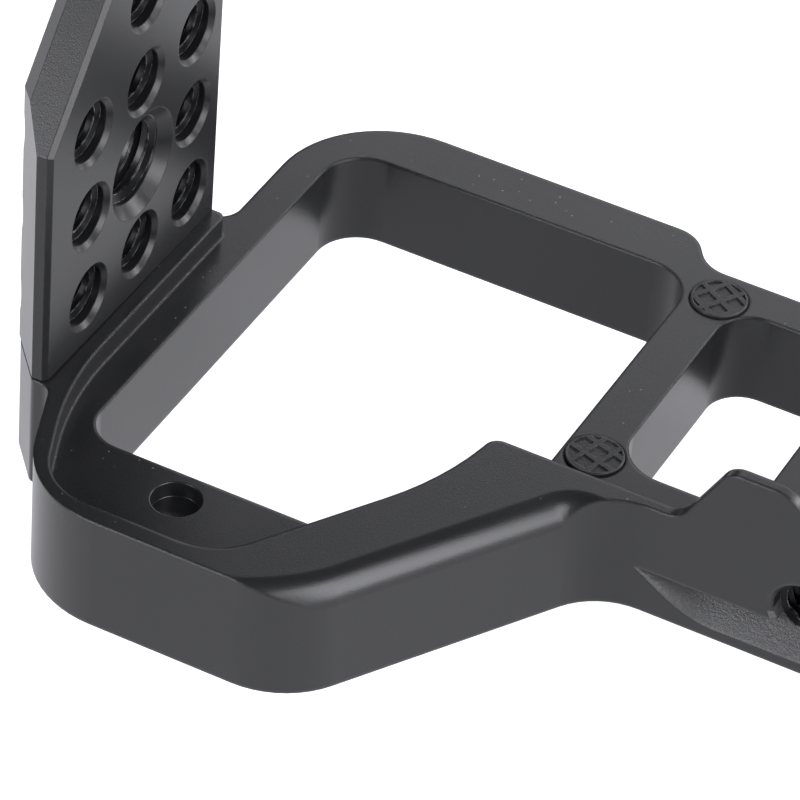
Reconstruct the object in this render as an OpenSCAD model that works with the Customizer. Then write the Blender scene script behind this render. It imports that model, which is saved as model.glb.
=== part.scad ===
// Camera cage: base plate, two side plates and a top plate screwed together round a camera body.
// The origin is on the camera screw's axis at the underside of the base.
// X runs from the grip side to the port side, Y from front to back, Z up.

/* [Base plate] */
// Thickness of the base under the camera
base_t = 10.5; // [9:0.5:14]
// Height of the lip above the base's floor
lip_h = 2.6; // [1.5:0.1:4]
// Distance from the camera screw to the grip-side edge of the base
grip_edge_x = 74.4; // [72:0.2:80]
// Distance from the camera screw to the front of the grip bulge
grip_front_y = 50.1; // [48:0.1:56]
// Distance from the camera screw to the back edge on the grip side
grip_back_y = 24.4; // [23:0.1:30]
// Width between the two dovetail edges
dovetail_w = 40; // [38:0.2:44]
// Angle of the slanted front edge beside the grip
slant_angle = 58; // [50:1:66]
// Radius of the corner at the front of the grip bulge
bulge_r = 11.5; // [8:0.5:12]
// Radius of the corner at the back of the grip side
back_r = 12.5; // [8:0.5:16]
// Thickness of the front wall that the camera bears on
wall_t = 1.3; // [1.2:0.1:2]
// Width of the lip along the front
lip_w = 2; // [1:0.1:3]

/* [Openings in the base] */
// Width of the battery opening
battery_w = 41; // [36:0.5:42]
// Distance from the camera screw to the front edge of the battery opening
battery_front_y = 36.8; // [35:0.1:38]
// Distance from the camera screw to the back edge of the battery opening
battery_back_y = 17.9; // [14:0.1:18.5]
// Width of the bars beside the middle openings
bar_w = 5.2; // [5:0.1:8]
// Distance from the camera screw to the outer edge of a middle opening
middle_reach = 24; // [22:0.1:25]
// Width of the bridge that holds the camera screw
bridge_w = 18.6; // [17.5:0.1:22]
// Distance from the camera screw to the front edge of the middle openings
middle_front_y = 13.1; // [11:0.1:13.5]
// Distance from the camera screw to the back edge of the middle openings
middle_back_y = 15.4; // [13:0.1:15.5]
// Corner radius of the openings
opening_r = 4.5; // [2:0.1:6]

/* [Slanted bar and flange] */
// Width of the slanted bar beside the battery opening
band_w = 8.8; // [8:0.1:10]
// Radius rolled over the top of the slanted edge
roll_r = 2.9; // [1.5:0.1:3]
// Height of the flange above the front wall
flange_h = 7.85; // [4:0.05:12]
// Half width of the flange's foot
flange_reach = 13.8; // [12:0.1:15]
// Depth of the dovetail groove
dovetail_depth = 4; // [2.5:0.1:4.2]
// Height of the dovetail's bottom edge
dovetail_edge = 1.2; // [0.8:0.1:2]

/* [Side plates] */
// Thickness of the side plates
plate_t = 6; // [5:0.2:8]
// Width of the space between the side plates
bay_w = 131; // [130:1:140]
// Height of the space between base floor and top plate
bay_h = 82.5; // [80:0.5:95]
// Depth of the grip-side plate, front to back
grip_plate_w = 33.1; // [33:0.1:38]
// Depth of the grip-side strut above the slant
strut_w = 20.9; // [19:0.1:23]
// Height above the seam where the grip-side plate starts to slant back
slant_start = 27.4; // [26:0.1:34]
// Depth of the port-side plate, front to back
port_plate_w = 32; // [30:0.5:36]
// Width of the cut-out for the camera's ports
port_cut_w = 15; // [12:0.5:16]
// Height of the cut-out for the camera's ports
port_cut_h = 56; // [40:1:60]

/* [Threaded holes] */
// Spacing of the accessory holes
pitch = 10; // [10:0.1:10.5]
// Diameter of a 1/4 inch accessory hole
quarter_d = 6.35; // [6:0.05:6.6]
// Diameter of the 3/8 inch accessory hole
three_eighths_d = 9.525; // [9:0.025:9.8]
// Diameter of the countersink round a 1/4 inch hole
quarter_mouth_d = 7.35; // [7:0.05:7.6]
// Diameter of the countersink round the 3/8 inch hole
three_eighths_mouth_d = 11.9; // [10.5:0.1:12]

/* [Top plate] */
// Thickness of the top plate
top_t = 8; // [6:0.5:10]
// Width of the opening behind the top plate's front bar
hump_w = 50; // [44:1:54]
// Depth of the top plate's front bar
front_bar_w = 12; // [10:0.5:16]
// Depth of the top plate on the port side
top_port_w = 40; // [36:0.5:44]

/* [Camera screw] */
// Diameter of the camera screw's thread
screw_thread_d = 6.35; // [6:0.05:6.5]
// Diameter of the screw's head
screw_head_d = 13; // [11:0.5:14]
// Height of the screw's head
screw_head_h = 2.6; // [2:0.1:3]
// How far the screw stands above the base's floor
screw_reach = 5.2; // [4.5:0.1:6]
// Pitch of the screw's thread
screw_pitch = 1.27; // [1.25:0.01:1.3]

/* [Pads and key] */
// Diameter of a rubber pad
pad_d = 6; // [5:0.1:6.2]
// How far a pad stands above the floor
pad_rise = 0.3; // [0.2:0.1:1]
// Length of the stored key
key_l = 25; // [22:0.5:25]
// Width of the stored key
key_w = 5; // [4:0.1:5.4]
// Thickness of the stored key
key_t = 2.2; // [1.6:0.1:3]

/* [Accessory shoe and rail] */
// Inside width of the accessory shoe
shoe_w = 18.7; // [18.5:0.1:19]
// Length of the accessory shoe
shoe_l = 20; // [18:0.5:22]
// Opening between the shoe's lips
shoe_gap = 12.6; // [12:0.1:13]
// Length of the accessory rail
rail_l = 48; // [46:1:60]
// Width of the accessory rail across its flanks
rail_w = 15; // [14:0.5:18]
// Travel of a rail stop pin
pin_travel = 1.4; // [1:0.1:1.8]

/* [Hidden] */
$fn = 64;
e = 0.5;                 // how far a cut runs past the face it opens
gap = 0.1;               // clearance between two pieces of one body
anodised = "#26272a";
steel = "#b9bcc0";
rubber = "#1b1b1c";

// Levels
lip_z = base_t + lip_h;
seat_z = lip_z;                          // where the side plates stand
plate_top = base_t + bay_h;              // where the top plate sits
top_z = plate_top + top_t;

// Plan of the base
side_face_x = -(grip_edge_x + 0.9);      // inner face of the grip-side plate
outer_x = side_face_x - plate_t;
port_face_x = side_face_x + bay_w;       // inner face of the port-side plate
port_outer_x = port_face_x + plate_t;
edge_y = dovetail_w / 2;
wall_y = wall_t - edge_y;                // inner face of the front wall
lip_x = -grip_edge_x + 0.7;              // inner edge of the lip on the grip side
bar_x = -middle_reach - bar_w;           // port-side edge of the battery opening
battery_x = bar_x - battery_w;
lip_front_x = -67.7;
step_x = bar_x - 0.05;                   // foot of the step in the back edge
step_run = 3;
port_field_x = middle_reach + bar_w + 12; // column of tripod holes
groove_start_x = -9;
groove_end_x = port_outer_x - 16;
groove_cutter_out = 7.5;                 // how far out the groove's cutter sat as it stopped
front_hole_z = base_t - 3.4;
front_hole_depth = 6;
flange_half = 20;
flange_root_z = base_t + 1;
horn_half = 2.4;                         // half the gap between the flange's horns
horn_notch = 4.2;
flange_slope = 0.564;
slant_foot = [-42.8, -38.1];             // a point on the slanted bar's inner face
along = [cos(slant_angle), sin(slant_angle)];
outward = [sin(slant_angle), -cos(slant_angle)];
slant_corner_r = 10;
slant_inner_r = 8;
bend_run = 13.3;                         // where the inner face bends towards the front wall
bend_angle = 22;
bend_r = 32;
roll_end = 21.2;                         // how far along the bar the roll runs
roll_cutter_r = 2.6;
roll_skim = 0.02;
ring_r = 22;
ring_shift = 1.5;

// Grip-side plate in the Y-Z plane
plate_back_y = -1.9;
plate_front_y = plate_back_y - grip_plate_w;
lip_bend_y = plate_front_y + 1.5;        // where the lip's inner edge curves towards the bulge
strut_front_y = plate_back_y - strut_w;
nose_w = 1.6;                            // flat of the front edge beside its wide chamfer
nose_depth = 5;
slant_rise = 1.206 * (strut_front_y - plate_front_y);
slant_bevel = [1.7, 3.1];                // across and down the outside of the slanted edge
inner_chamfer = 0.9;
strap_slot = [5, 21];
strap_slot_z = plate_top - 14 - strap_slot[1];

// Accessory holes in the grip-side plate
hole_y = plate_back_y - 5.1;             // rear column
hole_z = seat_z + 5.5;                   // lowest row
grip_holes = [[0, 0], [0, 1], [0, 2], [0, 3], [1, 0], [1, 2], [1, 3], [2, 0], [2, 1], [2, 2]];
big_hole = [1, 1];

// Fasteners
plate_screw_d = 2.5;
plate_screw_head_d = 4.5;
plate_screw_head_h = 2.5;
plate_screw_hex = 2;
plate_screw_bite = 8;
plate_screw_seat = 6;
top_screw_d = 3;
top_screw_head_d = 5.5;
top_screw_head_h = 3;
top_screw_hex = 2.5;
top_screw_seat = top_z - 3.4;
top_screw_bite = 8;
drill_extra = 1;                         // how much deeper a tapped hole is than its screw
head_play = 0.4;                         // added to a head's diameter
shank_play = 0.3;                        // added to a shank's diameter
grip_screw_y = [hole_y - 0.5 * pitch, hole_y - 1.5 * pitch];
port_screw_y = [-port_plate_w / 2 + 5, port_plate_w / 2 - 3.5];
grip_top_y = [strut_front_y + 5.4, plate_back_y - 5.4];
plate_mid = plate_t / 2;

// Pads
pad_x = middle_reach + 1.85;
pad_front_y = -middle_front_y;
pad_rear_y = middle_back_y + 0.4;
pad_sink = 1;

// Camera screw: a shoulder under the thread keeps it captive in the ledge
washer_t = 0.8;
ledge_z = screw_head_h + washer_t + 0.4;
ledge_t = 1.9;
neck_d = 5;
screw_lift = 4 * screw_pitch;
shoulder_z = ledge_z + ledge_t + screw_lift + 0.2;
screw_top = base_t + screw_reach;

// Key and magnet
magnet_pos = [-57.4, 9.7 - grip_front_y];
magnet_d = 5;
magnet_t = 2;
magnet_z = base_t - 4.5;
magnet_bore = 2.4;
magnet_recess = 0.8;
key_y = magnet_pos[1] - 0.6;
key_play = 0.3;
key_x = magnet_pos[0] - key_l / 2 + 0.6;

// Shoe
shoe_wall = 2;
shoe_floor = 1.6;
shoe_slot = 2.1;
shoe_lip = 1.5;
shoe_x = port_face_x - 15.5;
shoe_y = -4;
shoe_screw_y = 6;
shoe_sink = 1.2;                         // depth of the cone under a shoe screw's head

// Rail on the outside of the port-side plate
rail_t = 5;
rail_neck = 10.5;
rail_flank = 1.6;
rail_y = -port_plate_w / 2 + 5;
rail_rise = 44;                          // the rail's middle above the foot of its plate
rail_mid_z = seat_z + rail_rise;
rail_screw_seat = rail_t - 3.2;
rail_slot_w = 3;
rail_slot_depth = 1.2;
spring_bore = 4;                         // depth of the bore behind a stop pin
pin_d = 3;
pin_collar_d = 4.4;
pin_offset = rail_l / 2 - 5;
pin_collar_t = 1;
pin_step = 2;                            // depth of the rail's bore that holds a pin's collar
pin_stand = pin_travel + 0.2;            // how far a pin stands out of the rail
pin_tip = 0.5;
pin_seat = 0.05;                         // clearance above and below a pin's collar
spring_wall = 0.5;

// ---- Plan outlines made of straight sides and true arcs ----

function unit(v) = v / norm(v);
function wrap(list, i) = list[(i + len(list)) % len(list)];
function to_next(p, i) = unit(wrap(p, i + 1) - p[i]);
function to_last(p, i) = unit(wrap(p, i - 1) - p[i]);
function cross_z(a, b) = a[0] * b[1] - a[1] * b[0];
function half_turn(p, i) = 90 - acos(to_next(p, i) * to_last(p, i)) / 2;
function reach(p, r, i) = r[i] * tan(half_turn(p, i));
function is_outer(p, i) = cross_z(-to_last(p, i), to_next(p, i)) > 0;
function arc_centre(p, r, i) = p[i] + unit(to_next(p, i) + to_last(p, i)) * r[i] / cos(half_turn(p, i));

// The part of a corner's circle that lies between its two sides
module corner_round(p, r, i) {
    intersection() {
        translate(arc_centre(p, r, i)) circle(r[i], $fn = 96);
        polygon([
            p[i] + to_last(p, i) * reach(p, r, i), p[i],
            p[i] + to_next(p, i) * reach(p, r, i), arc_centre(p, r, i)
        ]);
    }
}

// Corners p run anticlockwise; r gives each corner's radius.
module rounded(p, r) {
    count = len(p);
    difference() {
        union() {
            polygon([
                for (i = [0 : count - 1])
                    each r[i] == 0 ? [p[i]] : [
                        p[i] + to_last(p, i) * reach(p, r, i),
                        p[i] + to_next(p, i) * reach(p, r, i)
                    ]
            ]);
            for (i = [0 : count - 1])
                if (r[i] > 0 && is_outer(p, i))
                    corner_round(p, r, i);
        }
        for (i = [0 : count - 1])
            if (r[i] > 0 && !is_outer(p, i))
                corner_round(p, r, i);
    }
}

// Point on the slanted bar's frame: run along its inner face, out towards the front.
function on_slant(run, out) = slant_foot + along * run + outward * out;
function run_at_y(out, y) = (y - slant_foot[1] - outward[1] * out) / along[1];

// ---- Shared cuts ----

// A threaded hole's bore with a countersink at its near face, along +Z from z = 0.
module tapped(d, mouth_d, depth) {
    translate([0, 0, -e]) cylinder(d = d, h = depth + 2 * e);
    translate([0, 0, -0.01]) cylinder(d1 = mouth_d, d2 = d, h = (mouth_d - d) / 2);
    translate([0, 0, depth + 0.01]) mirror([0, 0, 1])
        cylinder(d1 = mouth_d, d2 = d, h = (mouth_d - d) / 2);
}

// The same hole through a side plate whose inner face is at x.
module tapped_x(x, d, mouth_d) {
    translate([x, 0, 0]) rotate([0, 90, 0]) tapped(d, mouth_d, plate_t);
}

// ---- Base plate ----

grip_foot_back = plate_back_y + 2;
foot_nose_y = plate_front_y - 0.2;
bulge_corner = [-69.1, -grip_front_y];
bulge_lean = 2.65;                       // run of the bulge's side for each unit across

base_outline = [
    [outer_x, plate_front_y + nose_depth],
    [side_face_x - nose_w, plate_front_y],
    [bulge_corner[0] - (grip_front_y + foot_nose_y) / bulge_lean, foot_nose_y],
    bulge_corner,
    on_slant(run_at_y(band_w, -grip_front_y), band_w),
    on_slant(run_at_y(band_w, -edge_y), band_w),
    [port_outer_x, -edge_y],
    [port_outer_x, edge_y],
    [step_x, edge_y],
    [step_x - step_run, grip_back_y],
    [-grip_edge_x, grip_back_y],
    [-grip_edge_x, grip_foot_back],
    [outer_x, grip_foot_back]
];
base_radii = [2.5, 1, 1.6, bulge_r, slant_corner_r, slant_inner_r, 6, 6, 4, 4, back_r, 2.6, 2.5];

// The slanted bar's inner face bends towards the front wall's inner face
bend_point = on_slant(bend_run, 0);
bent = [cos(slant_angle + bend_angle), sin(slant_angle + bend_angle)];
wall_corner = bend_point + bent * (wall_y - bend_point[1]) / bent[1];

// Floor that the camera stands on, inside the lip and the front wall
floor_outline = [
    [outer_x - 10, plate_back_y],
    [lip_x, plate_back_y],
    [lip_x, lip_bend_y],
    [lip_front_x, lip_w - grip_front_y],
    on_slant(run_at_y(0, lip_w - grip_front_y), 0),
    bend_point,
    wall_corner,
    [port_face_x - 0.7, wall_y],
    [port_face_x - 0.7, edge_y + 10],
    [outer_x - 10, edge_y + 10]
];
floor_radii = [0, 0.8, 36, 7, 7.2, bend_r, 1.5, 3, 0, 0];

battery_outline = [
    [battery_x, -battery_front_y],
    on_slant(run_at_y(0, -battery_front_y), 0),
    bend_point,
    wall_corner,
    [bar_x, wall_y],
    [bar_x, battery_back_y],
    [battery_x, battery_back_y]
];
battery_radii = [opening_r - 0.5, 0.8, bend_r, 1.5, 0.8, opening_r + 0.5, opening_r + 0.5];

module middle_opening() {
    rounded([
        [-middle_reach, -middle_front_y], [-bridge_w / 2, -middle_front_y],
        [-bridge_w / 2, middle_back_y], [-middle_reach, middle_back_y]
    ], [opening_r + 0.5, opening_r, opening_r, opening_r - 0.5]);
}

// Flange with two horns that keeps the camera from turning
module flange() {
    horn_top = lip_z + flange_h;
    shoulder = flange_reach - flange_slope * flange_h;
    translate([0, wall_y, 0]) rotate([90, 0, 0]) linear_extrude(wall_t) rounded([
        [-flange_half, flange_root_z], [flange_half, flange_root_z], [flange_half, lip_z],
        [flange_reach, lip_z], [shoulder, horn_top], [horn_half, horn_top],
        [0, horn_top - horn_notch],
        [-horn_half, horn_top], [-shoulder, horn_top], [-flange_reach, lip_z], [-flange_half, lip_z]
    ], [0, 0, 0, 2.5, 2.4, 3.7, 1.3, 3.7, 2.4, 2.5, 0]);
}

// Section that rolls the slanted edge over: the edge is at x = 0, with air beyond it.
// Its arc meets both faces at a slight slope, so that they cross and don't only touch.
module roll_section(air) {
    middle = [roll_skim - roll_r, lip_z - roll_r + roll_skim];
    difference() {
        translate(middle) square([roll_r + air, roll_r + e]);
        translate(middle) circle(roll_r);
    }
}

// The roll runs along the slanted edge. At the front it crosses onto a wide ring that fades out
// round the corner, and at the back it ends in the round of the cutter.
module roll_cut() {
    roll_start = run_at_y(band_w, -grip_front_y) + slant_corner_r * tan(slant_angle / 2);
    overlap = 1;
    translate([slant_foot[0], slant_foot[1], 0]) rotate(slant_angle) {
        translate([roll_start - overlap, -band_w, 0]) rotate([90, 0, 90]) mirror([1, 0, 0])
            linear_extrude(roll_end - roll_start + overlap) roll_section(e);
        translate([roll_start + ring_shift, sqrt(ring_r * ring_r - ring_shift * ring_shift) - band_w, 0])
            rotate([0, 0, 190]) rotate_extrude(angle = 78.7, $fn = 180)
                translate([ring_r, 0]) roll_section(e);
        translate([roll_end, -band_w - roll_cutter_r, 0]) rotate_extrude($fn = 120)
            translate([roll_cutter_r, 0]) mirror([1, 0, 0]) roll_section(roll_cutter_r - e);
    }
}

// Groove for a dovetail clamp along the front edge, with the cutter's round run-outs
module dovetail_groove(x_start, x_end) {
    cutter_out = groove_cutter_out;
    depth = dovetail_depth;
    translate([x_start, -edge_y, dovetail_edge]) rotate([90, 0, 90])
        linear_extrude(x_end - x_start) polygon([[-e, -e], [depth, depth], [-e, depth]]);
    for (x = [x_start, x_end])
        translate([x, -edge_y - cutter_out, dovetail_edge])
            cylinder(r1 = cutter_out, r2 = cutter_out + depth, h = depth, $fn = 120);
}

module base_holes() {
    // front hole on the lens axis
    translate([0, -edge_y, front_hole_z]) rotate([-90, 0, 0]) {
        translate([0, 0, -e]) cylinder(d = quarter_d, h = front_hole_depth + e);
        translate([0, 0, -0.01])
            cylinder(d1 = quarter_mouth_d, d2 = quarter_d, h = (quarter_mouth_d - quarter_d) / 2);
    }
    // camera screw: head pocket, ledge and thread clearance
    translate([0, 0, -e]) cylinder(d = screw_head_d + 2, h = ledge_z + e);
    cylinder(d = neck_d + shank_play, h = base_t + e);
    translate([0, 0, ledge_z + ledge_t]) cylinder(d = screw_thread_d + 0.5, h = base_t);
    // tripod holes in the port-side field
    translate([port_field_x, 0, 0]) tapped(three_eighths_d, three_eighths_mouth_d - 1, base_t);
    for (y = [-pitch, pitch])
        translate([port_field_x, y, 0]) tapped(quarter_d, quarter_mouth_d, base_t);
    // screws into the side plates
    for (y = grip_screw_y) translate([outer_x + plate_mid, y, 0]) plate_screw_hole();
    for (y = port_screw_y) translate([port_outer_x - plate_mid, y, 0]) plate_screw_hole();
}

module plate_screw_hole() {
    translate([0, 0, -e]) cylinder(d = plate_screw_head_d + head_play, h = plate_screw_seat + e);
    cylinder(d = plate_screw_d + shank_play, h = lip_z + e);
}

module pad_seat(x, y) {
    translate([x, y, base_t - pad_sink]) cylinder(d = pad_d + gap, h = pad_sink + e);
}

module key_groove() {
    scoop_r = 8;
    translate([key_x - key_play, key_y - (key_w + key_play) / 2, -e])
        cube([key_l + 2 * key_play, key_w + key_play, key_t + key_play + e]);
    // finger scoop across the groove
    translate([key_x + key_l - 6, key_y - scoop_r, 1 - scoop_r])
        rotate([-90, 0, 0]) cylinder(r = scoop_r, h = 2 * scoop_r);
    // stepped hole for the magnet
    translate([magnet_pos[0], magnet_pos[1], 0]) {
        cylinder(d = magnet_d - 1.6, h = base_t + e);
        translate([0, 0, magnet_z]) cylinder(d = magnet_d + gap, h = base_t - magnet_z + e);
        translate([0, 0, base_t - 0.3]) cylinder(d1 = magnet_d + gap, d2 = magnet_d + gap + 0.8, h = 0.4);
    }
}

module base_plate() {
    color(anodised) difference() {
        union() {
            difference() {
                linear_extrude(lip_z) rounded(base_outline, base_radii);
                translate([0, 0, base_t]) linear_extrude(lip_h + e) rounded(floor_outline, floor_radii);
                roll_cut();
            }
            flange();
        }
        translate([0, 0, -e]) linear_extrude(lip_z + 2 * e) {
            rounded(battery_outline, battery_radii);
            middle_opening();
            mirror([1, 0, 0]) middle_opening();
        }
        dovetail_groove(groove_start_x, groove_end_x);
        mirror([0, 1, 0]) dovetail_groove(groove_start_x, groove_end_x);
        for (x = [-pad_x, pad_x], y = [pad_front_y, pad_rear_y]) pad_seat(x, y);
        base_holes();
        key_groove();
    }
}

// ---- Side plates ----

// Bevels a side plate's edge from p to q in the Y-Z plane, starting at the face at x:
// wide across the edge (negative towards -X), deep down the face
module edge_bevel(x, p, q, wide, deep, run_on = 4) {
    angle = atan2(q[1] - p[1], q[0] - p[0]);
    side = sign(wide);
    translate([x, p[0], p[1]]) rotate([angle, 0, 0]) translate([0, -run_on, 0])
        rotate([-90, 0, 0]) linear_extrude(norm(q - p) + 2 * run_on) polygon([
            [-side, 1], [wide + wide / deep, 1], [-side, -deep - deep / abs(wide)]
        ]);
}

module grip_side_plate() {
    slant_end = [strut_front_y, seat_z + slant_start + slant_rise];
    slant_from = [plate_front_y, seat_z + slant_start];
    color(anodised) difference() {
        translate([outer_x, 0, 0]) rotate([90, 0, 90]) linear_extrude(plate_t) rounded([
            [plate_front_y, seat_z], [plate_back_y, seat_z], [plate_back_y, plate_top],
            [strut_front_y, plate_top], slant_end, slant_from
        ], [0, 0, 0, 0, 0, 0]);
        edge_bevel(outer_x, slant_from, [plate_front_y, seat_z], plate_t - nose_w, nose_depth, 3);
        edge_bevel(outer_x, slant_end, slant_from, slant_bevel[0], slant_bevel[1], 1.2);
        edge_bevel(outer_x, [strut_front_y, plate_top + 2], slant_end, slant_bevel[0], slant_bevel[1], 1);
        edge_bevel(side_face_x, slant_from, [plate_front_y, seat_z], -inner_chamfer, inner_chamfer, 0.5);
        edge_bevel(side_face_x, slant_end, slant_from, -inner_chamfer, inner_chamfer, 0.5);
        grip_holes_cut();
        // strap slot
        translate([outer_x - e, (strut_front_y + plate_back_y - strap_slot[0]) / 2, strap_slot_z])
            rounded_slot(plate_t + 2 * e, strap_slot[0], strap_slot[1]);
        for (y = grip_screw_y)
            translate([outer_x + plate_mid, y, 0]) tapped_ends(false);
        for (y = grip_top_y)
            translate([outer_x + plate_mid, y, 0]) tapped_ends(true);
    }
}

// A side plate's hole for a screw from above or from below
module tapped_ends(from_above) {
    low = plate_screw_bite + drill_extra;
    high = top_screw_bite + drill_extra;
    if (from_above)
        translate([0, 0, plate_top - high]) cylinder(d = top_screw_d, h = high + e);
    else
        translate([0, 0, seat_z - e]) cylinder(d = plate_screw_d, h = low + e);
}

// Slot along Z with round ends, cut along X
module rounded_slot(depth, width, length) {
    r = width / 2;
    translate([0, r, r]) rotate([0, 90, 0]) cylinder(r = r, h = depth);
    translate([0, r, length - r]) rotate([0, 90, 0]) cylinder(r = r, h = depth);
    translate([0, 0, r]) cube([depth, width, length - width]);
}

module grip_holes_cut() {
    for (h = grip_holes)
        translate([0, hole_y - h[0] * pitch, hole_z + h[1] * pitch])
            tapped_x(outer_x, quarter_d, quarter_mouth_d);
    translate([0, hole_y - big_hole[0] * pitch, hole_z + big_hole[1] * pitch])
        tapped_x(outer_x, three_eighths_d, three_eighths_mouth_d);
}

module port_side_plate() {
    half = port_plate_w / 2;
    cut_y = half - 7 - port_cut_w;
    cut_z = seat_z + 11;
    color(anodised) difference() {
        translate([port_face_x, 0, 0]) rotate([90, 0, 90]) linear_extrude(plate_t) difference() {
            rounded([
                [-half, seat_z], [half, seat_z], [half, plate_top], [-half, plate_top]
            ], [0, 0, 0, 0]);
            rounded([
                [cut_y, cut_z], [cut_y + port_cut_w, cut_z],
                [cut_y + port_cut_w, cut_z + port_cut_h], [cut_y, cut_z + port_cut_h]
            ], [3, 3, 3, 3]);
        }
        // tapped holes for the rail, with the stop pins' bores beyond them
        for (z = [-1, 1]) {
            translate([port_face_x - e, rail_y, rail_mid_z + z * pitch])
                rotate([0, 90, 0]) cylinder(d = top_screw_d, h = plate_t + 2 * e);
            translate([port_outer_x - spring_bore, rail_y, rail_mid_z + z * pin_offset])
                rotate([0, 90, 0]) cylinder(d = pin_collar_d + gap, h = spring_bore + e);
        }
        for (y = port_screw_y, above = [false, true])
            translate([port_outer_x - plate_mid, y, 0]) tapped_ends(above);
    }
}

// ---- Top plate ----

module top_plate() {
    port_front = -top_port_w / 2 - 6;
    port_back = port_front + top_port_w;
    bar_back = port_front + front_bar_w;
    hump = hump_w / 2;
    color(anodised) difference() {
        translate([0, 0, plate_top]) linear_extrude(top_t) rounded([
            [outer_x, strut_front_y], [-hump - 14, strut_front_y], [-hump - 9, port_front],
            [port_outer_x, port_front], [port_outer_x, port_back], [hump, port_back],
            [hump, bar_back], [-hump, bar_back], [-hump, plate_back_y], [outer_x, plate_back_y]
        ], [3, 5, 4, 6, 6, 4, 6, 6, 4, 3]);
        for (i = [0 : 3])
            translate([-pitch * 1.5 + i * pitch, port_front + front_bar_w / 2, plate_top])
                tapped(quarter_d, quarter_mouth_d, top_t);
        for (i = [0 : 1])
            translate([outer_x + 16 + i * pitch, (strut_front_y + plate_back_y) / 2, plate_top])
                tapped(quarter_d, quarter_mouth_d, top_t);
        for (y = grip_top_y) translate([outer_x + plate_mid, y, 0]) top_screw_hole();
        for (y = port_screw_y) translate([port_outer_x - plate_mid, y, 0]) top_screw_hole();
        for (y = [-1, 1])
            translate([shoe_x, shoe_y + y * shoe_screw_y, plate_top - e])
                cylinder(d = top_screw_d, h = top_t + 2 * e);
    }
}

module top_screw_hole() {
    translate([0, 0, plate_top - e]) cylinder(d = top_screw_d + shank_play, h = top_t + 2 * e);
    translate([0, 0, top_screw_seat])
        cylinder(d = top_screw_head_d + head_play, h = top_z - top_screw_seat + e);
}

// ---- Screws ----

// Socket head screw pointing up, its head's seat at z = 0
module socket_screw(d, head_d, head_h, shank, socket_w) {
    difference() {
        union() {
            cylinder(d = d - 0.04, h = shank);
            translate([0, 0, -head_h]) cylinder(d = head_d, h = head_h);
        }
        translate([0, 0, -head_h - e]) cylinder(d = socket_w, h = head_h * 0.6 + e, $fn = 6);
    }
}

module plate_screws(x, ys) {
    shank = seat_z - plate_screw_seat + plate_screw_bite;
    color(steel) for (y = ys)
        translate([x, y, plate_screw_seat])
            socket_screw(plate_screw_d, plate_screw_head_d, plate_screw_head_h, shank, plate_screw_hex);
}

module top_screws(x, ys) {
    shank = top_screw_seat - plate_top + top_screw_bite;
    color(steel) for (y = ys)
        translate([x, y, top_screw_seat]) mirror([0, 0, 1])
            socket_screw(top_screw_d, top_screw_head_d, top_screw_head_h, shank, top_screw_hex);
}

module grip_plate_screws() { plate_screws(outer_x + plate_mid, grip_screw_y); }
module port_plate_screws() { plate_screws(port_outer_x - plate_mid, port_screw_y); }
module grip_top_screws() { top_screws(outer_x + plate_mid, grip_top_y); }
module port_top_screws() { top_screws(port_outer_x - plate_mid, port_screw_y); }

// ---- Pads ----

module pad(x, y) {
    color(rubber) translate([x, y, base_t - pad_sink]) cylinder(d = pad_d, h = pad_sink + pad_rise);
}

module base_pad_front_grip() { pad(-pad_x, pad_front_y); }
module base_pad_rear_grip() { pad(-pad_x, pad_rear_y); }
module base_pad_front_port() { pad(pad_x, pad_front_y); }
module base_pad_rear_port() { pad(pad_x, pad_rear_y); }

// ---- Camera screw, key and magnet ----

module camera_screw() {
    slot_w = 1.6;
    color(steel) difference() {
        union() {
            translate([0, 0, ledge_z - washer_t - screw_head_h]) cylinder(d = screw_head_d, h = screw_head_h);
            translate([0, 0, ledge_z - washer_t]) cylinder(d = neck_d, h = screw_top - ledge_z);
            translate([0, 0, shoulder_z]) cylinder(d = screw_thread_d, h = screw_top - shoulder_z - 0.6);
            translate([0, 0, screw_top - 0.6]) cylinder(d1 = screw_thread_d, d2 = neck_d, h = 0.6);
        }
        translate([-screw_head_d, -slot_w / 2, -e])
            cube([2 * screw_head_d, slot_w, ledge_z - washer_t - screw_head_h + 1.2 + e]);
    }
}

module camera_screw_washer() {
    color("#d8d8d2") translate([0, 0, ledge_z - washer_t]) difference() {
        cylinder(d = screw_head_d - 1, h = washer_t);
        translate([0, 0, -e]) cylinder(d = neck_d + 0.1, h = washer_t + 2 * e);
    }
}

module stored_key() {
    blade = 7;
    color(steel) translate([key_x, key_y, 0.3]) difference() {
        translate([0, -key_w / 2, 0]) cube([key_l, key_w, key_t]);
        // blade end ground thin on both faces
        for (z = [-e, key_t - 0.5]) translate([-e, -key_w, z]) cube([blade + e, 2 * key_w, 0.5 + e]);
        // hole for a cord
        translate([key_l - 3.5, 0, -e]) cylinder(d = 2.4, h = key_t + 2 * e);
    }
}

module key_magnet() {
    color(steel) translate([magnet_pos[0], magnet_pos[1], magnet_z]) difference() {
        cylinder(d = magnet_d, h = magnet_t);
        translate([0, 0, magnet_t - magnet_recess]) cylinder(d = magnet_bore, h = magnet_recess + e);
    }
}

// ---- Accessory shoe ----

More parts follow.
